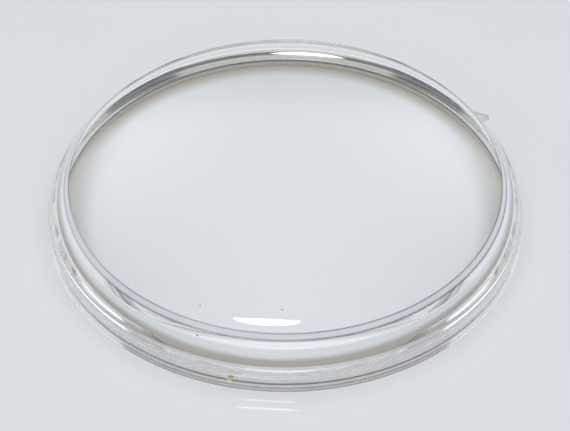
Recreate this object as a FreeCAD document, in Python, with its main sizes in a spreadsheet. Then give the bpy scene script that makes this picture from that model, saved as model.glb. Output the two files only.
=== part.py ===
"""Domed watch crystal with a polished tension ring pressed into its skirt.

Millimetres, +Z up. The origin is the centre of the flat bottom face of the
crystal, the face that goes down onto the seat of the watch case. Both pieces
are turned about Z. Half of each section is drawn in the XZ plane and revolved.
"""
import FreeCAD, Part
import Sketcher
import math
import os

SIZES = {
    # Crystal, outside
    "rim_radius": 15.5,        # press-in rim, half of the 31.0 mm diameter
    "rim_height": 1.15,        # straight land of the rim
    "rim_step": 0.21,          # the wall stands in from the rim by this much
    "rim_round": 0.1,          # round on the upper edge of the rim
    "wall_top": 2.0,           # where the upright wall ends and the bevel starts
    "bevel_width": 0.96,       # bevel between the wall and the crown, sideways
    "bevel_rise": 1.33,        # the same bevel, upwards
    "crown_bevel": 0.3,        # narrow second bevel at the edge of the dome
    "dome_rise": 0.77,         # height of the dome above its own edge
    # Crystal, inside
    "dome_thickness": 1.5,     # at the centre
    "skirt_wall": 0.36,        # acrylic left outside the ring
    "ledge_width": 0.44,       # shoulder that the ring is pressed up against
    "cavity_lean": 0.48,       # inner wall from the ledge up to the dome, sideways
    "cavity_wall": 0.93,       # the same wall, upwards
    "cavity_round": 0.3,       # round where it meets the underside of the dome
    # Tension ring
    "ring_height": 1.35,
    "ring_foot": 0.62,         # width of the ring at the bottom
    "ring_land": 0.42,         # height of the upright land at the foot
    "ring_face": 2.45,         # radius of the gently curved face above the land
    "ring_top": 0.06,          # width of the ring at the top
    "ring_gap": 0.02,          # between the ring and the acrylic, all round
    # Moulding gate, clipped off beside the wall
    "gate_angle": 31.5,        # degrees from +X towards +Y
    "gate_width": 0.9,
    "gate_reach": 0.66,        # at the clipped corner, from the wall
    "gate_root": 0.12,         # at the other corner
    "gate_sink": 0.25,         # depth of its root inside the wall
    "gate_base": 1.55,
    "gate_height": 0.38,
}
NEAR = 1e-4                    # two lengths closer than this are the same, in mm
UP = FreeCAD.Vector(0, 0, 1)

doc = FreeCAD.newDocument("watch_crystal")


def make_sheet():
    """Put every driving dimension in the spreadsheet under its own name."""
    sheet = doc.addObject("Spreadsheet::Sheet", "Sizes")
    for row, (name, value) in enumerate(SIZES.items(), start=1):
        sheet.set("A%d" % row, name)
        sheet.set("B%d" % row, str(value))
        sheet.setAlias("B%d" % row, name)
    doc.recompute()
    return sheet


def value_of(expression):
    """Number that an expression of sheet sizes gives, for a sketch's first guess."""
    return float(sheet.evalExpression(expression.replace("Sizes.", "")))


def origin_plane(body, role):
    """The body's own origin plane with this role."""
    for feature in body.Origin.OriginFeatures:
        if feature.Role == role:
            return feature
    raise ValueError("no origin plane " + role)


def new_sketch(body, name, role):
    """Empty sketch on one of the body's origin planes."""
    sketch = body.newObject("Sketcher::SketchObject", name)
    sketch.AttachmentSupport = (origin_plane(body, role), [""])
    sketch.MapMode = "FlatFace"
    return sketch


def hold_point(sketch, edge, end, name, across, up):
    """Bind one end of an edge to its two expressions, or put it on an axis where one is zero."""
    if across == "0":
        sketch.addConstraint(Sketcher.Constraint("PointOnObject", edge, end, -2))
    else:
        index = sketch.addConstraint(
            Sketcher.Constraint("DistanceX", -1, 1, edge, end, value_of(across)))
        sketch.renameConstraint(index, name + "_across")
        sketch.setExpression("Constraints." + name + "_across", across)
    if up == "0":
        sketch.addConstraint(Sketcher.Constraint("PointOnObject", edge, end, -1))
    else:
        index = sketch.addConstraint(
            Sketcher.Constraint("DistanceY", -1, 1, edge, end, value_of(up)))
        sketch.renameConstraint(index, name + "_up")
        sketch.setExpression("Constraints." + name + "_up", up)


def add_arc(sketch, start, stop, centre):
    """Short arc between two points. Returns its edge, then which end is start and which stop."""
    circle = Part.Circle(centre, UP, (start - centre).Length)
    first = circle.parameter(start)
    last = circle.parameter(stop)
    if (last - first) % (2 * math.pi) < math.pi:
        return sketch.addGeometry(Part.ArcOfCircle(circle, first, last), False), 1, 2
    return sketch.addGeometry(Part.ArcOfCircle(circle, last, first), False), 2, 1


def add_dome(sketch, start, stop):
    """Arc with its centre on the sketch's upright axis, so that it crosses the axis level."""
    rim, apex = (start, stop) if stop.x == 0 else (stop, start)
    sag = apex.y - rim.y
    radius = (rim.x ** 2 + sag ** 2) / (2 * sag)
    centre = FreeCAD.Vector(0, apex.y - radius, 0)
    edge, first, last = add_arc(sketch, start, stop, centre)
    sketch.addConstraint(Sketcher.Constraint("PointOnObject", edge, 3, -2))
    return edge, first, last


def add_face(sketch, start, stop, name, radius):
    """Arc of a given radius with its centre on the left of the way from start to stop."""
    chord = stop - start
    middle = start + chord * 0.5
    depth = math.sqrt(value_of(radius) ** 2 - (chord.Length / 2) ** 2)
    centre = middle + UP.cross(chord).normalize() * depth
    edge, first, last = add_arc(sketch, start, stop, centre)
    index = sketch.addConstraint(Sketcher.Constraint("Radius", edge, value_of(radius)))
    sketch.renameConstraint(index, name + "_radius")
    sketch.setExpression("Constraints." + name + "_radius", radius)
    return edge, first, last


def draw_outline(sketch, corners, domes=(), faces=()):
    """Closed outline through named corners, each (name, across, up).

    The edge that starts at a corner is straight, unless domes or faces name
    that corner. For faces, a dict gives each name the radius of its arc.
    """
    points = []
    for _, across, up in corners:
        points.append(FreeCAD.Vector(value_of(across), value_of(up), 0))
    count = len(corners)
    ends = []
    for i, (name, _, _) in enumerate(corners):
        start, stop = points[i], points[(i + 1) % count]
        if name in domes:
            ends.append(add_dome(sketch, start, stop))
        elif name in faces:
            ends.append(add_face(sketch, start, stop, name, faces[name]))
        else:
            ends.append((sketch.addGeometry(Part.LineSegment(start, stop), False), 1, 2))
    for i in range(count):
        edge, _, last = ends[i]
        following, first, _ = ends[(i + 1) % count]
        sketch.addConstraint(Sketcher.Constraint("Coincident", edge, last, following, first))
    for (edge, first, _), (name, across, up) in zip(ends, corners):
        hold_point(sketch, edge, first, name, across, up)


def revolve(body, sketch):
    """Turn a half section round the body's Z axis."""
    turned = body.newObject("PartDesign::Revolution", sketch.Name + "_turned")
    turned.Profile = sketch
    turned.ReferenceAxis = (sketch, ["V_Axis"])
    turned.Angle = 360
    doc.recompute()
    return turned


def round_circle(body, base, name, radius, height, size):
    """Fillet the full circle that has this radius at this height."""
    found = []
    for i, edge in enumerate(base.Shape.Edges, start=1):
        if edge.Degenerated or not isinstance(edge.Curve, Part.Circle):
            continue
        same_radius = abs(edge.Curve.Radius - value_of(radius)) < NEAR
        same_height = abs(edge.Curve.Center.z - value_of(height)) < NEAR
        if same_radius and same_height:
            found.append("Edge%d" % i)
    fillet = body.newObject("PartDesign::Fillet", name)
    fillet.Base = (base, found)
    fillet.setExpression("Radius", size)
    doc.recompute()
    return fillet


def make_crystal():
    """Clear cup: rim, wall and two bevels outside, dome above, cavity and ring seat inside."""
    body = doc.addObject("PartDesign::Body", "crystal")
    body.Label = "crystal"
    section = new_sketch(body, "crystal_section", "XZ_Plane")
    seat = "Sizes.rim_radius - Sizes.skirt_wall"
    wall = "Sizes.rim_radius - Sizes.rim_step"
    bevel = wall + " - Sizes.bevel_width"
    bevel_top = "Sizes.wall_top + Sizes.bevel_rise"
    crown_top = bevel_top + " + Sizes.crown_bevel"
    apex = crown_top + " + Sizes.dome_rise"
    seat_top = "Sizes.ring_height + Sizes.ring_gap"
    ledge = seat + " - Sizes.ledge_width"
    cavity = ledge + " - Sizes.cavity_lean"
    cavity_top = seat_top + " + Sizes.cavity_wall"
    draw_outline(section, [
        ("seat_mouth", seat, "0"),
        ("rim_foot", "Sizes.rim_radius", "0"),
        ("rim_edge", "Sizes.rim_radius", "Sizes.rim_height"),
        ("wall_foot", wall, "Sizes.rim_height"),
        ("wall_edge", wall, "Sizes.wall_top"),
        ("bevel_edge", bevel, bevel_top),
        ("crown_edge", bevel + " - Sizes.crown_bevel", crown_top),
        ("apex", "0", apex),
        ("ceiling", "0", apex + " - Sizes.dome_thickness"),
        ("ceiling_edge", cavity, cavity_top),
        ("ledge", ledge, seat_top),
        ("seat_corner", seat, seat_top),
    ], domes=("crown_edge", "ceiling"))
    turned = revolve(body, section)
    rounded = round_circle(body, turned, "rim_round",
                           "Sizes.rim_radius", "Sizes.rim_height", "Sizes.rim_round")
    round_circle(body, rounded, "cavity_round", cavity, cavity_top, "Sizes.cavity_round")

    # The gate is a wedge: clipped square at one corner, running out to nothing at the other.
    outline = new_sketch(body, "gate_outline", "XY_Plane")
    outline.setExpression("AttachmentOffset.Base.z", "Sizes.gate_base")
    outline.setExpression("AttachmentOffset.Rotation.Angle", "Sizes.gate_angle")
    root = wall + " - Sizes.gate_sink"
    draw_outline(outline, [
        ("near_root", root, "-Sizes.gate_width / 2"),
        ("near_tip", wall + " + Sizes.gate_reach", "-Sizes.gate_width / 2"),
        ("far_tip", wall + " + Sizes.gate_root", "Sizes.gate_width / 2"),
        ("far_root", root, "Sizes.gate_width / 2"),
    ])
    gate = body.newObject("PartDesign::Pad", "gate")
    gate.Profile = outline
    gate.setExpression("Length", "Sizes.gate_height")
    doc.recompute()
    return body


def make_ring():
    """Tension ring: upright land at the foot, then a curved face that leans out to the top."""
    body = doc.addObject("PartDesign::Body", "tension_ring")
    body.Label = "tension_ring"
    section = new_sketch(body, "ring_section", "XZ_Plane")
    outside = "Sizes.rim_radius - Sizes.skirt_wall - Sizes.ring_gap"
    draw_outline(section, [
        ("foot_inside", outside + " - Sizes.ring_foot", "0"),
        ("foot_outside", outside, "0"),
        ("top_outside", outside, "Sizes.ring_height"),
        ("top_inside", outside + " - Sizes.ring_top", "Sizes.ring_height"),
        ("land_edge", outside + " - Sizes.ring_foot", "Sizes.ring_land"),
    ], faces={"top_inside": "Sizes.ring_face"})
    revolve(body, section)
    return body


def check_document(bodies):
    """Stop unless every object is computed and every sub-part is one valid solid."""
    for item in doc.Objects:
        if "Invalid" in item.State or "Error" in item.State:
            raise RuntimeError(item.Name + " did not compute")
    for body in bodies:
        if body.Shape.isNull() or not body.Shape.isValid() or len(body.Shape.Solids) != 1:
            raise RuntimeError(body.Label + " is not one valid solid")


sheet = make_sheet()
bodies = [make_crystal(), make_ring()]
check_document(bodies)
os.makedirs("parts", exist_ok=True)
for body in bodies:
    body.Shape.exportStep("parts/%s.step" % body.Label)
    box = body.Shape.optimalBoundingBox()
    print("%s %.2f mm3, box %.2f x %.2f x %.2f mm"
          % (body.Label, body.Shape.Volume, box.XLength, box.YLength, box.ZLength))
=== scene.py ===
# %% [markdown]
# # A watch crystal with its tension ring
# A watch crystal is the clear cap over the dial. This one is a low acrylic dome with a
# polished metal ring pressed into its skirt. The ring pushes the plastic outwards, so that
# the crystal stays in its case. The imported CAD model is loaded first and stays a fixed
# frame. Sizes are in millimetres and repeat the CAD's. Three forms are only here: tiny
# rounds on the polished edges, an upright wall of the cavity, and a slope on the rim's
# top. Each is named again where it comes.

# %% Load the frame
import math
import bpy
import numpy as np
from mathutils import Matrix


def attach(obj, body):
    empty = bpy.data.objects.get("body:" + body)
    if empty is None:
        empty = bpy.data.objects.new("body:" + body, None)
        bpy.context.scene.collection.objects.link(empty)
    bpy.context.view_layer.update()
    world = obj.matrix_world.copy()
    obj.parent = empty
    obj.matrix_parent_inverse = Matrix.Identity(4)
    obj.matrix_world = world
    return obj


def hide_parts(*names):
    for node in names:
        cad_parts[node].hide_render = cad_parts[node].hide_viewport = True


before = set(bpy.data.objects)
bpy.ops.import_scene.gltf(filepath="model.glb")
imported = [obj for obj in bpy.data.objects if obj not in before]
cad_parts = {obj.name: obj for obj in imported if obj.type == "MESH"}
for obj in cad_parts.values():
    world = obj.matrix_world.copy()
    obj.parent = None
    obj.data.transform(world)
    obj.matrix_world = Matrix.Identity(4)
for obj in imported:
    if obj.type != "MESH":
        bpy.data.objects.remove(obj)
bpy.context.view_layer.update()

MM = 0.001

# %% [markdown]
# The dome is a plate between two shallow spherical caps. Clear plastic shows every facet,
# because each one bends the light its own way. The CAD's own mesh could be kept and shaded
# smooth, but its facets are too coarse for that. So both pieces are made again as fine
# surfaces of revolution, worked out with numpy: half a section is carried round the Z
# axis. A section is a list of points (r, z), and the caps are its first and last stretch.

# %% The two domes
APEX, CEILING = 4.4, 2.9       # heights of the outside and of the underside on the axis
CROWN_RADIUS, CROWN_TOP = 14.03, 3.63
CAVITY_RADIUS, CAVITY_TOP = 14.55, 2.3    # this radius is 14.22 in the CAD
CAP_POINTS = 26                # with fewer, a false line shows beside the crown


def cap(top, edge_radius, edge_height):
    """Shallow spherical cap, from the axis out.

    With sag = top - edge height, the sphere's radius is (edge radius^2 + sag^2) / (2 sag),
    and the height at r is top - sphere + sqrt(sphere^2 - r^2).
    """
    sag = top - edge_height
    sphere = (edge_radius ** 2 + sag ** 2) / (2 * sag)
    r = np.linspace(0, edge_radius, CAP_POINTS)
    return np.stack([r, top - sphere + np.sqrt(sphere ** 2 - r ** 2)], 1)


outside = cap(APEX, CROWN_RADIUS, CROWN_TOP)
underside = cap(CEILING, CAVITY_RADIUS, CAVITY_TOP)
print("dome plate:", round(APEX - CEILING, 3), "mm thick in the middle")

# %% [markdown]
# Moulded and polished edges are never quite sharp, and their tiny rounds are what catches
# the lamp. The CAD leaves most of them sharp. A Bevel modifier would round them, but each
# edge has its own radius, so the section's corners become tangent arcs before it is turned.
# Smooth shading bends the light over a whole face unless something holds it. One more
# point just past each end of an arc keeps the bend there, and the long faces stay flat.

# %% Rounded corners
EDGE = 0.035                   # radius of a polished edge
HOLD = 0.012                   # length that is held flat beside each arc
ARC_STEP = 10.0                # degrees from point to point


def short_way(first, last):
    """Angles of two directions, the short way: end = start + (end - start + pi) mod 2 pi - pi."""
    start = math.atan2(first[1], first[0])
    end = math.atan2(last[1], last[0])
    return start, start + (end - start + math.pi) % (2 * math.pi) - math.pi


def arc(centre, radius, start, stop):
    """Points centre + radius (cos, sin) of the angles from start to stop, in degrees."""
    count = max(2, int(math.ceil(abs(stop - start) / ARC_STEP)) + 1)
    angle = np.radians(np.linspace(start, stop, count))
    return centre + radius * np.stack([np.cos(angle), np.sin(angle)], 1)


def soften(corners):
    """Outline of corners (r, z, round), with an arc in place of each corner that has a round.

    The arc touches both sides at round / tan(half) from the corner, and its centre is
    round / sin(half) away, where half is half the angle at the corner.
    """
    points = []
    for number, (r, z, size) in enumerate(corners):
        here = np.array([r, z])
        if size == 0:
            points.append(here[None])
            continue
        back = np.array(corners[number - 1][:2]) - here
        on = np.array(corners[number + 1][:2]) - here
        back /= math.hypot(*back)
        on /= math.hypot(*on)
        half = math.acos(float(np.clip(back @ on, -1, 1))) / 2
        reach = size / math.tan(half)
        middle = (back + on) / math.hypot(*(back + on)) * size / math.sin(half)
        start, end = short_way(back * reach - middle, on * reach - middle)
        curve = arc(here + middle, size, math.degrees(start), math.degrees(end))
        points.append(np.concatenate([[curve[0] + back * HOLD], curve, [curve[-1] + on * HOLD]]))
    return np.concatenate(points)


square = soften([(0.0, 0.0, 0), (1.0, 0.0, EDGE), (1.0, 1.0, 0)])
print("a square corner becomes", len(square) - 2, "points")

# %% [markdown]
# The section of the crystal runs down the outside of the dome, over the crown bevel, the
# wide bevel, the wall and the rim, along the flat foot, up the bore that holds the ring,
# over a ledge and back under the dome. The CAD's own section could be used, but the look
# of clear plastic depends on two forms that are only here. The cavity's wall is nearly
# upright, where the CAD's leans in to 14.22 mm: it gives the dark line in front of the
# wall. And the rim's top falls outwards, which gives the rim its highlight.

# %% Section of the crystal
RIM_RADIUS, RIM_HEIGHT, RIM_ROUND = 15.5, 1.15, 0.1
WALL_RADIUS, WALL_TOP = 15.29, 2.0
BEVEL_RADIUS, BEVEL_TOP = 14.33, 3.33
SEAT_RADIUS, SEAT_TOP = 15.14, 1.37
LEDGE_RADIUS = 14.7
CAVITY_ROUND = 0.65            # 0.3 in the CAD
RIM_SLOPE = math.radians(5.0)  # level in the CAD
RIM_FALL = math.tan(RIM_SLOPE) * (RIM_RADIUS - WALL_RADIUS)

skirt = soften([
    (*outside[-2], 0),
    (CROWN_RADIUS, CROWN_TOP, EDGE),
    (BEVEL_RADIUS, BEVEL_TOP, EDGE),
    (WALL_RADIUS, WALL_TOP, EDGE),
    (WALL_RADIUS, RIM_HEIGHT + RIM_FALL, EDGE),
    (RIM_RADIUS, RIM_HEIGHT, RIM_ROUND),
    (RIM_RADIUS, 0.0, EDGE),
    (SEAT_RADIUS, 0.0, EDGE),
    (SEAT_RADIUS, SEAT_TOP, EDGE),
    (LEDGE_RADIUS, SEAT_TOP, EDGE),
    (CAVITY_RADIUS, CAVITY_TOP, CAVITY_ROUND),
    (*underside[-3], 0)])
crystal_section = np.concatenate([outside[:-2], skirt, underside[-4::-1]])
print("crystal section:", len(crystal_section), "points")

# %% [markdown]
# The tension ring is a turned ring. Its inner face is one gentle bow that leans out to a
# thin top, above a short upright land, and that bow is what spreads the mirror image of
# the room. It is the arc of a circle through its two ends, so only its radius is chosen.

# %% Section of the tension ring
RING_OUTSIDE, RING_HEIGHT = 15.12, 1.35
RING_FOOT, RING_LAND, RING_TOP = 0.62, 0.42, 0.06
RING_BOW, BOW_POINTS = 2.45, 30    # radius of the bowed face, and its points
RING_EDGE = 0.02               # round of its thin top
FOOT_START = RING_OUTSIDE - 0.3    # the section starts here, on the flat foot


def between(start, stop, radius, count):
    """Short arc from start to stop, with its centre on the left.

    The centre is sqrt(radius^2 - (length / 2)^2) from the middle of the chord.
    """
    start, stop = np.array(start), np.array(stop)
    chord = stop - start
    length = math.hypot(*chord)
    left = np.array([-chord[1], chord[0]]) / length
    centre = (start + stop) / 2 + left * math.sqrt(radius ** 2 - (length / 2) ** 2)
    angle = np.linspace(*short_way(start - centre, stop - centre), count)
    return centre + radius * np.stack([np.cos(angle), np.sin(angle)], 1)


bow_top = (RING_OUTSIDE - RING_TOP, RING_HEIGHT)
bow_foot = (RING_OUTSIDE - RING_FOOT, RING_LAND)
bow = between(bow_top, bow_foot, RING_BOW, BOW_POINTS)
land = soften([(FOOT_START, 0.0, 0), (RING_OUTSIDE - RING_FOOT, 0.0, EDGE), (*bow_foot, 0)])
outer_face = soften([(*bow_top, 0), (RING_OUTSIDE, RING_HEIGHT, RING_EDGE), (RING_OUTSIDE, 0.0, EDGE),
                     (FOOT_START, 0.0, 0)])
ring_section = np.concatenate([land[:-1], bow[::-1], outer_face[1:-1]])
print("ring section:", len(ring_section), "points")

# %% [markdown]
# A section becomes a surface when it is turned round the axis. Point (r, z) at angle a
# goes to (r cos a, r sin a, z). A Screw modifier does the same, but a grid of our own
# says exactly which way the faces point and how a pole is closed. Where a section touches
# the axis its whole circle would be one point, so that row is left out, and one vertex
# with a fan of triangles closes the hole.

# %% Turn a section into a mesh
AROUND = 640                   # steps round the axis; the crystal stays under 200,000 triangles
SHARP = math.radians(14.0)     # edges that bend more than this stay sharp


def turned(name, section):
    """Surface of revolution: x = r cos a, y = r sin a, with a in equal steps all round.

    An open section starts and ends on the axis. A closed one joins its last point to its
    first.
    """
    open_ends = section[0][0] == 0
    rows = section[1:-1] if open_ends else section
    angle = np.linspace(0, 2 * np.pi, AROUND, endpoint=False)
    grid = np.empty((len(rows), AROUND, 3))
    grid[..., 0] = rows[:, :1] * np.cos(angle)
    grid[..., 1] = rows[:, :1] * np.sin(angle)
    grid[..., 2] = rows[:, 1:]
    row = np.arange(len(rows) - 1 if open_ends else len(rows))[:, None]
    column = np.arange(AROUND)[None]
    below = (row + 1) % len(rows)
    beside = (column + 1) % AROUND
    corners = [row * AROUND + column, below * AROUND + column,
               below * AROUND + beside, row * AROUND + beside]
    points = grid.reshape(-1, 3)
    faces = np.stack(corners, -1).reshape(-1, 4).tolist()
    if open_ends:
        first, last = len(points), len(points) + 1
        points = np.concatenate([points, [[0, 0, section[0][1]], [0, 0, section[-1][1]]]])
        step = np.arange(AROUND)
        onward = (step + 1) % AROUND
        base = (len(rows) - 1) * AROUND
        faces += np.stack([np.full(AROUND, first), step, onward], 1).tolist()
        faces += np.stack([np.full(AROUND, last), base + onward, base + step], 1).tolist()
    mesh = bpy.data.meshes.new(name)
    mesh.from_pydata((points * MM).tolist(), [], faces)
    mesh.shade_smooth()
    mesh.set_sharp_from_angle(angle=SHARP)
    piece = bpy.data.objects.new(name, mesh)
    bpy.context.scene.collection.objects.link(piece)
    print(name, len(mesh.vertices), "vertices,", len(mesh.polygons), "faces")
    return piece


crystal = turned("crystal_turned", crystal_section)
ring = turned("tension_ring_turned", ring_section)

# %% [markdown]
# Materials come next, and each is a small tree of nodes. Colours are written as a colour
# picker shows them, in sRGB hex, so one function turns them into Blender's linear values.
# The others add a node with its settings and links, make a new material, give a noise its
# scale from a real size, and measure how far a point is from the axis, because much of
# what marks a turned piece follows that. The nodes could be set by hand in the editor,
# but in a script every value is named.

# %% Colour and node helpers
def linear(code):
    """sRGB hex to linear RGBA: c / 12.92 up to 0.04045, otherwise ((c + 0.055) / 1.055) ^ 2.4."""
    c = np.array([int(code[start:start + 2], 16) for start in (0, 2, 4)]) / 255
    low = c <= 0.04045
    return (*np.where(low, c / 12.92, ((c + 0.055) / 1.055) ** 2.4).tolist(), 1.0)


def add_node(tree, kind, inputs=None, **settings):
    """New node. inputs gives sockets by name or number: a value, or a node or socket to link from."""
    node = tree.nodes.new(kind)
    for name, value in settings.items():
        setattr(node, name, value)
    for key, value in (inputs or {}).items():
        if isinstance(value, bpy.types.Node):
            value = value.outputs[0]
        if isinstance(value, bpy.types.NodeSocket):
            tree.links.new(value, node.inputs[key])
        else:
            node.inputs[key].default_value = value
    return node


def new_material(name):
    """Material with its tree, its Principled shader and the Object coordinates."""
    material = bpy.data.materials.new(name)
    material.use_nodes = True
    tree = material.node_tree
    place = add_node(tree, "ShaderNodeTexCoord").outputs["Object"]
    return material, tree, tree.nodes["Principled BSDF"], place


def per(size):
    """Noise scale whose features are this many millimetres across: 1 / size in metres."""
    return 1 / (size * MM)


def from_axis(tree, place):
    """Distance from the Z axis in millimetres: sqrt(x^2 + y^2)."""
    flat = add_node(tree, "ShaderNodeVectorMath", {0: place, 1: (1 / MM, 1 / MM, 0)},
                    operation="MULTIPLY")
    return add_node(tree, "ShaderNodeVectorMath", {0: flat}, operation="LENGTH").outputs["Value"]


print("middle grey in linear:", linear("808080")[0])

# %% [markdown]
# The crystal is PMMA, called acrylic, moulded or cast and then polished. It bends light a
# little less than window glass, and it scratches easily. To the eye that gives clear
# edges, and hairlines that show where the surface is. Hairlines could be painted on an
# image, but noise needs no unwrapping and looks alike at any distance. One is drawn where
# a wide noise passes through its middle value, a second noise keeps only some of them, and
# the surface is rougher there. Polishing also leaves a very faint wave, as a bump.

# %% Polished acrylic
PMMA_IOR = 1.491
HAIRLINE_BEND, HAIRLINE_PATCH = 7.143, 2.381    # how far they sweep, and how long one shows
HAIRLINE_WIDTH = 0.0016        # in values of the noise: about 0.01 mm to each side
HAIRLINE_ROUGHNESS = 0.12
WAVE_LENGTH, WAVE_HEIGHT, WAVE_STRENGTH = 11.11, 0.02, 0.01

acrylic, tree, shader, place = new_material("pmma_acrylic_polished")
shader.inputs["IOR"].default_value = PMMA_IOR
sweep = add_node(tree, "ShaderNodeTexNoise", {"Vector": place, "Scale": per(HAIRLINE_BEND), "Detail": 1.0})
off = add_node(tree, "ShaderNodeMath", {0: sweep, 1: 0.5}, operation="SUBTRACT")
off = add_node(tree, "ShaderNodeMath", {0: off}, operation="ABSOLUTE")
hair = add_node(tree, "ShaderNodeMapRange",
                {"Value": off, "From Max": HAIRLINE_WIDTH, "To Min": 1.0, "To Max": 0.0})
patch = add_node(tree, "ShaderNodeTexNoise", {"Vector": place, "Scale": per(HAIRLINE_PATCH), "Detail": 0.0})
kept = add_node(tree, "ShaderNodeMapRange", {"Value": patch, "From Min": 0.6, "From Max": 0.7})
hairline = add_node(tree, "ShaderNodeMath", {0: hair, 1: kept}, operation="MULTIPLY")
rough = add_node(tree, "ShaderNodeMath", {0: hairline, 1: HAIRLINE_ROUGHNESS}, operation="MULTIPLY")
tree.links.new(rough.outputs[0], shader.inputs["Roughness"])
wave = add_node(tree, "ShaderNodeTexNoise", {"Vector": place, "Scale": per(WAVE_LENGTH), "Detail": 2.0})
bump = add_node(tree, "ShaderNodeBump",
                {"Height": wave, "Strength": WAVE_STRENGTH, "Distance": WAVE_HEIGHT * MM})
tree.links.new(bump.outputs[0], shader.inputs["Normal"])
crystal.data.materials.append(acrylic)
print(acrylic.name, "so far has", len(tree.nodes), "nodes")

# %% [markdown]
# The narrow crown bevel was turned last. It is tinted a little grey, and a darker line is
# painted along each edge: painted shade, where the edges of clear plastic look dark. Its
# faces could have a material of their own, but a line is thinner than a face, so band and
# lines are found by their distance from the axis. The rounded corner of the cavity lies at
# the same distance, lower down, so a height keeps it out. The wave of the polish lets the
# lines fade here and there.

# %% The turned crown bevel
CROWN_ABOVE = 3.2              # height over which the marks show
CROWN_LINE = 0.045             # half the width of a line
CROWN_MIDDLE = (CROWN_RADIUS + BEVEL_RADIUS) / 2
# the second colour is the painted shade along the bevel's edges
BAND_TINT, EDGE_SHADE_TINT = linear("e2e4e8"), linear("7e8087")

radius = from_axis(tree, place)
axes = add_node(tree, "ShaderNodeSeparateXYZ", {0: place})
above = add_node(tree, "ShaderNodeMath", {0: axes.outputs[2], 1: CROWN_ABOVE * MM},
                 operation="GREATER_THAN")
band = add_node(tree, "ShaderNodeMath", {0: radius, 1: CROWN_MIDDLE, 2: BEVEL_RADIUS - CROWN_MIDDLE},
                operation="COMPARE")
band = add_node(tree, "ShaderNodeMath", {0: band, 1: above}, operation="MULTIPLY")
inner = add_node(tree, "ShaderNodeMath", {0: radius, 1: CROWN_RADIUS, 2: CROWN_LINE}, operation="COMPARE")
outer = add_node(tree, "ShaderNodeMath", {0: radius, 1: BEVEL_RADIUS, 2: CROWN_LINE}, operation="COMPARE")
# painted shade lines along both edges of the bevel
edge_shade = add_node(tree, "ShaderNodeMath", {0: inner, 1: outer}, operation="MAXIMUM")
patchy = add_node(tree, "ShaderNodeMapRange",
                  {"Value": wave, "From Min": 0.3, "From Max": 0.6, "To Min": 0.6, "To Max": 1.0})
for mask in (above, patchy):
    edge_shade = add_node(tree, "ShaderNodeMath", {0: edge_shade, 1: mask}, operation="MULTIPLY")
tint = linear("ffffff")
for mask, colour in ((band, BAND_TINT), (edge_shade, EDGE_SHADE_TINT)):
    tint = add_node(tree, "ShaderNodeMix", {0: mask, 6: tint, 7: colour}, data_type="RGBA").outputs[2]
print("crown bevel:", round(BEVEL_RADIUS - CROWN_RADIUS, 3), "mm wide")

# %% [markdown]
# Two specks of dust lie on the dome and a spot of old glue is on the rim. Each could be a
# tiny mesh, but it is flat, so it is painted: everything within a ragged radius of its
# place takes its colour and stops being clear.

# %% Specks and spot
SPECKS = (                     # place and radius in millimetres, and colour
    ((-5.2, -11.8, 3.7), 0.10, "a2a2a6"),
    ((-0.2, -12.2, 3.8), 0.07, "a8a8ac"),
    ((-3.4, -15.1, 0.6), 0.17, "e0deb4"))
SPECK_RAGGED = 0.1111          # size of the teeth of a speck's outline

clear = 1.0
ragged = add_node(tree, "ShaderNodeTexNoise", {"Vector": place, "Scale": per(SPECK_RAGGED)})
for centre, size, code in SPECKS:
    away = add_node(tree, "ShaderNodeVectorMath", {0: place, 1: [value * MM for value in centre]},
                    operation="DISTANCE")
    reach = add_node(tree, "ShaderNodeMath", {0: ragged, 1: 2 * size * MM}, operation="MULTIPLY")
    inside = add_node(tree, "ShaderNodeMath", {0: away.outputs["Value"], 1: reach}, operation="LESS_THAN")
    tint = add_node(tree, "ShaderNodeMix", {0: inside, 6: tint, 7: linear(code)},
                    data_type="RGBA").outputs[2]
    rest = add_node(tree, "ShaderNodeMath", {0: 1.0, 1: inside}, operation="SUBTRACT")
    clear = add_node(tree, "ShaderNodeMath", {0: clear, 1: rest}, operation="MULTIPLY")
tree.links.new(tint, shader.inputs["Base Color"])
tree.links.new(clear.outputs[0], shader.inputs["Transmission Weight"])
print(acrylic.name, "now has", len(tree.nodes), "nodes")

# %% [markdown]
# The ring is nickel silver or steel, turned and polished bright. Polished metal has hardly
# a colour of its own: it mirrors the room. What gives it away is a slight stain and uneven
# gloss. A dark line is also painted all round in the corner where the land meets the bowed
# face: painted shade. One noise can drive both stain and gloss, because they come from the
# same handling, and the line is found by its height.

# %% Polished metal
STAIN_SIZE = 1.111
METAL_TONES = ((0.35, "e0dfdb"), (0.65, "e6e5e1"))
METAL_ROUGHNESS = 0.02, 0.035
# painted shade: a dark line all round, in the corner where the land meets the bowed face
CREASE_SHADE_HEIGHT, CREASE_SHADE_HALF = 0.49, 0.075    # middle of the dark line, and half its width
CREASE_SHADE_SHARE = 0.75

metal, tree, shader, place = new_material("nickel_silver_polished")
shader.inputs["Metallic"].default_value = 1.0
stain = add_node(tree, "ShaderNodeTexNoise", {"Vector": place, "Scale": per(STAIN_SIZE), "Detail": 4.0})
tone = add_node(tree, "ShaderNodeValToRGB", {"Fac": stain})
for element, (position, code) in zip(tone.color_ramp.elements, METAL_TONES):
    element.position = position
    element.color = linear(code)
axes = add_node(tree, "ShaderNodeSeparateXYZ", {0: place})
corner = add_node(tree, "ShaderNodeMath", {0: axes.outputs[2], 1: CREASE_SHADE_HEIGHT * MM, 2: CREASE_SHADE_HALF * MM},
                  operation="COMPARE")
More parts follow.
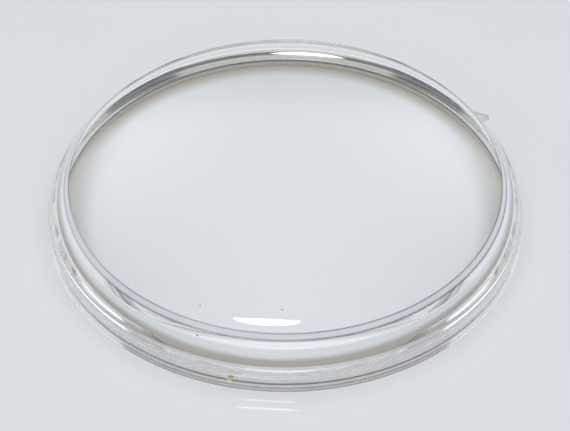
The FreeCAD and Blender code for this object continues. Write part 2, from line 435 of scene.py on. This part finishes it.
# the painted shade line darkens the metal's tone
crease_shade = add_node(tree, "ShaderNodeMath", {0: corner, 1: CREASE_SHADE_SHARE}, operation="MULTIPLY")
crease_shaded = add_node(tree, "ShaderNodeMix", {0: crease_shade, 6: tone.outputs[0], 7: linear("3c3a36")},
                  data_type="RGBA")
tree.links.new(crease_shaded.outputs[2], shader.inputs["Base Color"])
gloss = add_node(tree, "ShaderNodeMapRange",
                 {"Value": stain, "From Min": 0.3, "From Max": 0.7,
                  "To Min": METAL_ROUGHNESS[0], "To Max": METAL_ROUGHNESS[1]})
tree.links.new(gloss.outputs[0], shader.inputs["Roughness"])
ring.data.materials.append(metal)
print(metal.name, "so far has", len(tree.nodes), "nodes")

# %% [markdown]
# A turned ring keeps fine marks that run round it, even when it is polished. They are
# noise in two coordinates: the angle round the axis, shrunk so that a mark is long, and
# the height. An anisotropic shader could stand for them, but then single marks would be
# missing. Real marks are about 0.02 mm apart, which is too fine to show, so they are
# drawn coarser, 0.11 mm apart, and very shallow.

# %% Turning marks
MARK_SPACING = 0.1111
MARK_SHRINK = 0.6              # millimetres of pattern for a radian round the ring
MARK_DEPTH, MARK_STRENGTH = 0.002, 0.02

around = add_node(tree, "ShaderNodeMath", {0: axes.outputs[1], 1: axes.outputs[0]}, operation="ARCTAN2")
along = add_node(tree, "ShaderNodeMath", {0: around, 1: MARK_SHRINK * MM}, operation="MULTIPLY")
rolled = add_node(tree, "ShaderNodeCombineXYZ", {0: along, 1: axes.outputs[2]})
marks = add_node(tree, "ShaderNodeTexNoise", {"Vector": rolled, "Scale": per(MARK_SPACING), "Detail": 2.0})
bump = add_node(tree, "ShaderNodeBump",
                {"Height": marks, "Strength": MARK_STRENGTH, "Distance": MARK_DEPTH * MM})
tree.links.new(bump.outputs[0], shader.inputs["Normal"])
print("a turning mark is about", round(MARK_SPACING * RING_OUTSIDE / MARK_SHRINK, 1), "mm long")

# %% [markdown]
# Beside the wall is what is left of the moulding gate, where the plastic ran into the
# mould: a wedge that was clipped off. Torn acrylic is rough and looks frosted. A mask in
# the polished material could show that, but whole faces are torn here, so they have a
# material of their own, with a coarse noise for its roughness and its bump.

# %% Clipped acrylic
TEAR_SIZE, TEAR_DEPTH, TEAR_STRENGTH = 0.25, 0.04, 0.5
TEAR_ROUGHNESS = 0.15, 0.6

clipped, tree, shader, place = new_material("pmma_acrylic_clipped")
shader.inputs["Base Color"].default_value = linear("f4f4f0")
shader.inputs["Transmission Weight"].default_value = 1.0
shader.inputs["IOR"].default_value = PMMA_IOR
torn = add_node(tree, "ShaderNodeTexNoise", {"Vector": place, "Scale": per(TEAR_SIZE), "Detail": 3.0})
rough = add_node(tree, "ShaderNodeMapRange",
                 {"Value": torn, "To Min": TEAR_ROUGHNESS[0], "To Max": TEAR_ROUGHNESS[1]})
tree.links.new(rough.outputs[0], shader.inputs["Roughness"])
bump = add_node(tree, "ShaderNodeBump",
                {"Height": torn, "Strength": TEAR_STRENGTH, "Distance": TEAR_DEPTH * MM})
tree.links.new(bump.outputs[0], shader.inputs["Normal"])
print(clipped.name, "has", len(tree.nodes), "nodes")

# %% [markdown]
# The wedge has four upright sides: it starts inside the wall, and it reaches further out
# at one end than at the other. A cube could be scaled and sheared to it, but eight points
# say the shape directly. Its outline is drawn beside the X axis and then turned round Z
# by (x cos - y sin, x sin + y cos).

# %% Shape of the gate
GATE_TURN = math.radians(31.5)  # from +X towards +Y
GATE_WIDTH, GATE_BASE, GATE_HEIGHT = 0.9, 1.55, 0.38
GATE_REACH, GATE_ROOT, GATE_SINK = 0.66, 0.12, 0.25

outline = np.array([
    [WALL_RADIUS - GATE_SINK, -GATE_WIDTH / 2],
    [WALL_RADIUS + GATE_REACH, -GATE_WIDTH / 2],
    [WALL_RADIUS + GATE_ROOT, GATE_WIDTH / 2],
    [WALL_RADIUS - GATE_SINK, GATE_WIDTH / 2]])
cos, sin = math.cos(GATE_TURN), math.sin(GATE_TURN)
outline = outline @ np.array([[cos, sin], [-sin, cos]])
points = np.zeros((8, 3))
points[:4, :2] = outline
points[4:, :2] = outline
points[:4, 2] = GATE_BASE
points[4:, 2] = GATE_BASE + GATE_HEIGHT
sides = [(side, (side + 1) % 4, 4 + (side + 1) % 4, 4 + side) for side in range(4)]
mesh = bpy.data.meshes.new("gate")
mesh.from_pydata((points * MM).tolist(), [], [(3, 2, 1, 0), (4, 5, 6, 7)] + sides)
mesh.materials.append(clipped)
gate = bpy.data.objects.new("gate", mesh)
bpy.context.scene.collection.objects.link(gate)
print("gate:", len(mesh.polygons), "faces, to", round(np.hypot(*outline.T).max(), 2), "mm from the axis")

# %% [markdown]
# The gate and the wall are one plastic. Two clear solids that overlap would show a false
# surface between them, so a Boolean union joins them into one closed skin, and the gate's
# faces keep their own material. The result is applied, because the piece should be a
# plain mesh, and its sharp edges are found again.

# %% Join the gate to the crystal
union = crystal.modifiers.new("gate", "BOOLEAN")
union.operation = "UNION"
union.solver = "EXACT"
union.material_mode = "TRANSFER"
union.object = gate
graph = bpy.context.evaluated_depsgraph_get()
joined = bpy.data.meshes.new_from_object(crystal.evaluated_get(graph))
crystal.modifiers.clear()
crystal.data = joined
joined.set_sharp_from_angle(angle=SHARP)
bpy.data.objects.remove(gate)
print("crystal with its gate:", len(joined.polygons), "faces")
print("its materials:", [material.name for material in joined.materials])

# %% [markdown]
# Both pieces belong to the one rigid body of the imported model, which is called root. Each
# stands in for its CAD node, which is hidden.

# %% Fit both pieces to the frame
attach(crystal, "root")
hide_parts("crystal")
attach(ring, "root")
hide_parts("tension_ring")
print("pieces:", crystal.name, ring.name)

# %% [markdown]
# The crystal lies on a plain pale board. One square face is enough for it, large enough
# that its far edge is out of sight, and a hair below the crystal's foot so that the two
# faces don't fight.

# %% Board
BOARD_HALF, BOARD_GAP = 2000.0, 0.002

corners = np.array([[-1, -1, 0], [1, -1, 0], [1, 1, 0], [-1, 1, 0]]) * BOARD_HALF * MM
corners[:, 2] = -BOARD_GAP * MM
mesh = bpy.data.meshes.new("floor")
mesh.from_pydata(corners.tolist(), [], [(0, 1, 2, 3)])
floor = bpy.data.objects.new("floor", mesh)
bpy.context.scene.collection.objects.link(floor)
print("board:", 2 * BOARD_HALF * MM, "m square")

# %% [markdown]
# Coated board is matt and nearly even, with faint clouds where its fibres lie closer. It
# is painted a shade lighter towards the camera: painted light, which a gradient along y
# gives more simply than a second lamp. It has no gloss, because a mirror image of the room
# in it would hide the soft shade round the crystal.

# %% White matt board
BOARD_CLOUD = 16.67
BOARD_ROUGHNESS = 0.6
GRADIENT_REACH = 20.0          # from here behind the axis to as far in front

board, tree, shader, place = new_material("white_board_matt")
shader.inputs["Roughness"].default_value = BOARD_ROUGHNESS
shader.inputs["Specular IOR Level"].default_value = 0.0
cloud = add_node(tree, "ShaderNodeTexNoise", {"Vector": place, "Scale": per(BOARD_CLOUD), "Detail": 3.0})
shade = add_node(tree, "ShaderNodeValToRGB", {"Fac": cloud})
shade.color_ramp.elements[0].color = linear("d7dce0")
shade.color_ramp.elements[1].color = linear("dbe0e4")
axes = add_node(tree, "ShaderNodeSeparateXYZ", {0: place})
# painted light: lighter towards the camera
painted_light_ahead = add_node(tree, "ShaderNodeMapRange",
                  {"Value": axes.outputs[1],
                   "From Min": GRADIENT_REACH * MM, "From Max": -GRADIENT_REACH * MM})
colour = add_node(tree, "ShaderNodeMix", {0: painted_light_ahead, 6: shade.outputs[0], 7: linear("dbdfe4")},
                  data_type="RGBA").outputs[2]
floor.data.materials.append(board)
print(board.name, "so far has", len(tree.nodes), "nodes")

# %% [markdown]
# Clear plastic gathers light in some places of the board and keeps it from others. A
# renderer can find such patterns only with very many samples, so they are painted here.
# The first is a saddle under the dome, x^2 y: lighter beside the far skirt and darker
# beside the near one.

# %% Light and dark under the dome
DOME_REACH = 15.0              # the saddle ends under the skirt
SADDLE_REACH = 10.0            # full where x and y are both this large

radius = from_axis(tree, place)
under = add_node(tree, "ShaderNodeMath", {0: radius, 1: DOME_REACH}, operation="LESS_THAN")
saddle = axes.outputs[0]
for factor in (axes.outputs[0], axes.outputs[1]):
    saddle = add_node(tree, "ShaderNodeMath", {0: saddle, 1: factor}, operation="MULTIPLY")
for sign, code in ((1, "e9edf1"), (-1, "cdd2d6")):
    amount = add_node(tree, "ShaderNodeMapRange",
                      {"Value": saddle, "From Max": sign * (SADDLE_REACH * MM) ** 3})
    amount = add_node(tree, "ShaderNodeMath", {0: amount, 1: under}, operation="MULTIPLY")
    colour = add_node(tree, "ShaderNodeMix", {0: amount, 6: colour, 7: linear(code)},
                      data_type="RGBA").outputs[2]
print("the saddle covers", round(math.pi * DOME_REACH ** 2), "mm2 of board")

# %% [markdown]
# The second pattern follows the skirt. It keeps light off the board just inside the ring,
# more on the near side than on the far one, and throws a little in front of the rim. One
# mask, -y / r, tells near from far, and three rings of colour fade in along the radius.

# %% Shade along the skirt
NEAR_START, NEAR_FULL = -0.75, 0.3

forward = add_node(tree, "ShaderNodeMath", {0: axes.outputs[1], 1: -1 / MM}, operation="MULTIPLY")
forward = add_node(tree, "ShaderNodeMath", {0: forward, 1: radius}, operation="DIVIDE")
near = add_node(tree, "ShaderNodeMapRange",
                {"Value": forward, "From Min": NEAR_START, "From Max": NEAR_FULL},
                interpolation_type="SMOOTHSTEP")
far = add_node(tree, "ShaderNodeMath", {0: 1.0, 1: near}, operation="SUBTRACT")
RINGS = (                      # radius where it starts and where it is full, then the colour
    (12.2, 13.9, "LESS_THAN", near, "aeaca6"),
    (13.3, 14.5, "LESS_THAN", far, "b9b5aa"),
    (20.0, 15.3, "GREATER_THAN", near, "e1e4e9"))
for start, full, test, side, code in RINGS:
    fade = add_node(tree, "ShaderNodeMapRange", {"Value": radius, "From Min": start, "From Max": full},
                    interpolation_type="SMOOTHSTEP")
    part = add_node(tree, "ShaderNodeMath", {0: radius, 1: DOME_REACH}, operation=test)
    for mask in (part, side):
        fade = add_node(tree, "ShaderNodeMath", {0: fade, 1: mask}, operation="MULTIPLY")
    colour = add_node(tree, "ShaderNodeMix", {0: fade, 6: colour, 7: linear(code)},
                      data_type="RGBA").outputs[2]
print("shade along the skirt:", len(RINGS), "rings")

# %% [markdown]
# The last pattern is two thin bright streaks in front of the rim, where the lamp's light
# has passed through it. Each is a straight line with a slight slope, bright in its middle
# and faded towards its ends.

# %% Streaks in front of the rim
STREAK_MIDDLE, STREAK_HALF = -1.1, 2.1
STREAK_SLOPE, STREAK_WIDTH = 0.077, 0.13
STREAK_EVEN = 0.6              # share of its half length where it doesn't fade
STREAKS = ((16.2, 0.7), (16.83, 1.0))    # distance in front of the axis, and strength

along = add_node(tree, "ShaderNodeMath", {0: axes.outputs[0], 1: -STREAK_MIDDLE * MM}, operation="ADD")
aside = add_node(tree, "ShaderNodeMath", {0: along}, operation="ABSOLUTE")
ends = add_node(tree, "ShaderNodeMapRange",
                {"Value": aside, "From Min": STREAK_EVEN * STREAK_HALF * MM,
                 "From Max": STREAK_HALF * MM, "To Min": 1.0, "To Max": 0.0})
lean = add_node(tree, "ShaderNodeMath", {0: along, 1: STREAK_SLOPE}, operation="MULTIPLY")
level = add_node(tree, "ShaderNodeMath", {0: lean, 1: axes.outputs[1]}, operation="ADD")
for distance, strength in STREAKS:
    off = add_node(tree, "ShaderNodeMath", {0: level, 1: distance * MM}, operation="ADD")
    off = add_node(tree, "ShaderNodeMath", {0: off}, operation="ABSOLUTE")
    line = add_node(tree, "ShaderNodeMapRange",
                    {"Value": off, "From Max": STREAK_WIDTH * MM, "To Min": strength, "To Max": 0.0})
    line = add_node(tree, "ShaderNodeMath", {0: line, 1: ends}, operation="MULTIPLY")
    colour = add_node(tree, "ShaderNodeMix", {0: line, 6: colour, 7: linear("ffffff")},
                      data_type="RGBA").outputs[2]
tree.links.new(colour, shader.inputs["Base Color"])
print(board.name, "now has", len(tree.nodes), "nodes")

# %% [markdown]
# A photographer lights a clear thing with a white tent, and puts dark and pale cards round
# it, because glass and metal show nothing but what they mirror. Real cards could be planes
# in the scene, but they would also throw shade on the board. So the room is painted on the
# world, by the direction of a ray. This cell measures a ray: degrees to the side of -Y,
# where the front is, degrees up from the board, and what kind of ray it is.

# %% Measures of a ray
DEGREES = 180 / math.pi

world = bpy.data.worlds.new("studio")
bpy.context.scene.world = world
world.use_nodes = True
world.cycles.sampling_method = "NONE"    # so that a ray always knows what it has passed
tree = world.node_tree
tree.nodes.clear()
direction = add_node(tree, "ShaderNodeTexCoord").outputs["Generated"]
axes = add_node(tree, "ShaderNodeSeparateXYZ", {0: direction})
toward = add_node(tree, "ShaderNodeMath", {0: axes.outputs[1], 1: -1.0}, operation="MULTIPLY")
turn = add_node(tree, "ShaderNodeMath", {0: axes.outputs[0], 1: toward}, operation="ARCTAN2")
side = add_node(tree, "ShaderNodeMath", {0: turn, 1: DEGREES}, operation="MULTIPLY")
aside = add_node(tree, "ShaderNodeMath", {0: side}, operation="ABSOLUTE")
rise = add_node(tree, "ShaderNodeMath", {0: axes.outputs[2]}, operation="ARCSINE")
height = add_node(tree, "ShaderNodeMath", {0: rise, 1: DEGREES}, operation="MULTIPLY")
light = add_node(tree, "ShaderNodeLightPath")
measure = {
    "aside": aside, "height": height,
    "through plastic": light.outputs["Is Transmission Ray"],
    "from camera": light.outputs["Is Camera Ray"],
    "from board": light.outputs["Diffuse Depth"]}
print("a ray has", len(measure), "measures so far")

# %% [markdown]
# A card is a colour with soft edges. An edge takes one measure of the ray, the value where
# the card starts to show and the value where it is full. An image of a room could do the
# same, but a card's edge can be moved by one number. One helper lays a list of cards over
# a ground, each over the ones before it, as paper is laid on paper.

# %% Cards
def lay_cards(ground, cards):
    """Ground with cards over it. A card covers as much as its edges multiplied.

    An edge is the smooth step 3 t^2 - 2 t^3, where t runs from 0 at its start to 1 where
    it is full.
    """
    for colour, *edges in cards:
        cover = 1.0
        for name, start, full in edges:
            edge = add_node(tree, "ShaderNodeMapRange",
                            {"Value": measure[name], "From Min": start, "From Max": full},
                            interpolation_type="SMOOTHSTEP")
            cover = add_node(tree, "ShaderNodeMath", {0: cover, 1: edge}, operation="MULTIPLY")
        ground = add_node(tree, "ShaderNodeMix", {0: cover, 6: ground, 7: colour},
                          data_type="RGBA").outputs[2]
    return ground


DARK = (0.01, 0.01, 0.01, 1)
DIM = (0.05, 0.05, 0.05, 1)
HIGH = (0.40, 0.40, 0.42, 1)
BEIGE = (0.62, 0.61, 0.56, 1)
PALE = (0.80, 0.80, 0.77, 1)
WALL = (0.85, 0.88, 0.92, 1)
BACK = (1.03, 1.08, 1.15, 1)
LAMP = (3.0, 3.0, 3.0, 1)
SMALL_LAMP = (30.0, 30.0, 30.0, 1)
print("brightest card against the darkest:", round(SMALL_LAMP[0] / DARK[0]))

# %% [markdown]
# The lamps are ellipses. They could be area lights, but then they would light the board as
# well. The measure of one is how far a ray is from its middle, in shares of its two radii:
# 1 on its outline. Two lamps are given in degrees to the side and up. The small lamp, which
# the dome mirrors, is long, tilted and cut off straight along its middle, so its second
# coordinate is the angle up from +Y as seen from the side, less a share of x.

# %% Lamps
SMALL_MIDDLE, SMALL_RADII = (-0.022, 57.85), (0.040, 0.62)
SMALL_TILT = -4.93             # degrees for a unit of x
SMALL_CUT = 0.03               # degrees over which it is cut off

over = add_node(tree, "ShaderNodeMath", {0: axes.outputs[2], 1: axes.outputs[1]}, operation="ARCTAN2")
lift = add_node(tree, "ShaderNodeMath", {0: over, 1: DEGREES}, operation="MULTIPLY")
tilt = add_node(tree, "ShaderNodeMath", {0: axes.outputs[0], 1: SMALL_TILT}, operation="MULTIPLY")
level = add_node(tree, "ShaderNodeMath", {0: lift, 1: tilt}, operation="ADD")
measure["level"] = level
ELLIPSES = (                   # the two coordinates, then the middle and the radii in them
    ("upper lamp", side, height, (-10.5, 21.5), (17.0, 5.0)),
    ("lower lamp", side, height, (-7.0, 2.0), (10.0, 3.0)),
    ("small lamp", axes.outputs[0], level, SMALL_MIDDLE, SMALL_RADII))
for name, across, up, middle, radii in ELLIPSES:
    pair = add_node(tree, "ShaderNodeCombineXYZ", {0: across, 1: up})
    away = add_node(tree, "ShaderNodeVectorMath", {0: pair, 1: (*middle, 0)}, operation="SUBTRACT")
    share = add_node(tree, "ShaderNodeVectorMath", {0: away, 1: (*radii, 1)}, operation="DIVIDE")
    length = add_node(tree, "ShaderNodeVectorMath", {0: share}, operation="LENGTH")
    measure[name] = length.outputs["Value"]
print("lamps:", [ellipse[0] for ellipse in ELLIPSES])

# %% [markdown]
# In front of the object, on the camera's side, the room is dark with a pale opening 50
# degrees to each side and one dark bar across it. The ring at the far side mirrors this,
# and the bar gives it its dark stripes. The two lamps show only through the plastic, so
# that they light the ring and don't shine on the dome.

# %% The room in front
front = lay_cards(DARK, (
    (PALE, ("aside", 54.0, 48.0), ("height", 4.5, 6.5)),
    (DARK, ("height", 15.5, 17.0), ("height", 28.0, 26.0)),
    (HIGH, ("height", 38.0, 44.0)),
    (LAMP, ("upper lamp", 1.08, 0.92), ("through plastic", 0, 1)),
    (LAMP, ("lower lamp", 1.15, 0.85), ("through plastic", 0, 1))))
print("front cards laid,", len(tree.nodes), "nodes")

# %% [markdown]
# Behind the object are beige sides low down and a white wall. Above 20 degrees the bare
# outer surfaces mirror something dim, which gives the wall and the bevel their contrast,
# while the light that comes through the plastic stays white. Higher up everything is a
# cool white, and the small lamp hangs there.

# %% The room behind
behind = lay_cards(BEIGE, (
    (WALL, ("aside", 140.0, 155.0)),
    (DIM, ("height", 20.0, 26.0), ("through plastic", 1, 0)),
    (WALL, ("height", 20.0, 26.0), ("through plastic", 0, 1)),
    (BACK, ("height", 31.0, 38.0))))
room = lay_cards(front, (
    (behind, ("aside", 86.0, 92.0)),
    (BACK, ("height", 55.0, 75.0)),
    (SMALL_LAMP, ("small lamp", 1.03, 0.97), ("level", SMALL_MIDDLE[1], SMALL_MIDDLE[1] + SMALL_CUT))))
print("room laid,", len(tree.nodes), "nodes")

# %% [markdown]
# The board must not be lit by the cards, or it would be blotchy. Real lamps above it would
# throw hard shade, so a ray that has met the matt board sees an even sky instead. It is a
# little brighter overhead, and its light comes to 1.0 on a level board. The camera itself
# sees the board's pale grey all round.

# %% Even sky for the board
SHADE = (0.81, 0.80, 0.78, 1)
SKY = (1.19, 1.20, 1.22, 1)
OVERHEAD = (0.0, 0.1, 0.995)

facing = add_node(tree, "ShaderNodeVectorMath", {0: direction, 1: OVERHEAD}, operation="DOT_PRODUCT")
measure["overhead"] = facing.outputs["Value"]
even = lay_cards(SHADE, ((SKY, ("overhead", 0.45, 0.95)),))
seen = lay_cards(room, (
    (linear("dbe0e4"), ("from camera", 0, 1)),
    (even, ("from board", 0, 1))))
sky = add_node(tree, "ShaderNodeBackground", {"Color": seen})
add_node(tree, "ShaderNodeOutputWorld", {"Surface": sky})
print(world.name, "has", len(tree.nodes), "nodes")

# %% [markdown]
# The camera stands where the photograph's did: 145 mm away and 43.5 degrees up, with a
# long lens, aimed at the middle of the crystal's foot. Turning it a little would bring the
# axis to the photograph's pixel, but a small lens shift does it without tilting anything.

# %% Camera
PHOTO_WIDTH = 570
FOCAL_PIXELS = 2200.0
DISTANCE, ELEVATION = 145.06, math.radians(43.54)
LEFT_PIXELS, RAISE_PIXELS = 0.31, 1.27
SENSOR_WIDTH = 36.0
CLIP = 1.0                     # nothing nearer than this is drawn

data = bpy.data.cameras.new("camera")
data.sensor_width = SENSOR_WIDTH
data.lens = SENSOR_WIDTH * FOCAL_PIXELS / PHOTO_WIDTH
data.shift_x = -LEFT_PIXELS / PHOTO_WIDTH
data.shift_y = RAISE_PIXELS / PHOTO_WIDTH
data.clip_start = CLIP * MM
camera = bpy.data.objects.new("camera", data)
camera.location = (0, -math.cos(ELEVATION) * DISTANCE * MM, math.sin(ELEVATION) * DISTANCE * MM)
camera.rotation_euler = (math.pi / 2 - ELEVATION, 0, 0)
bpy.context.scene.collection.objects.link(camera)
bpy.context.scene.camera = camera
print("lens:", round(data.lens, 1), "mm")

# %% [markdown]
# Light that enters the edge of the dome runs along inside it from edge to edge, so a ray
# may bounce often. Cycles blurs sharp mirror images for light on its way to the board
# unless that is turned off. That would save noise, but clear plastic has to stay clear for
# this light. The Standard view shows colours as they are written.

# %% Light paths and view
BOUNCES = 40

bpy.context.scene.view_settings.view_transform = "Standard"
cycles = bpy.context.scene.cycles
cycles.max_bounces = BOUNCES
cycles.transmission_bounces = BOUNCES
cycles.glossy_bounces = BOUNCES
cycles.blur_glossy = 0.0
print("bounces:", cycles.max_bounces)
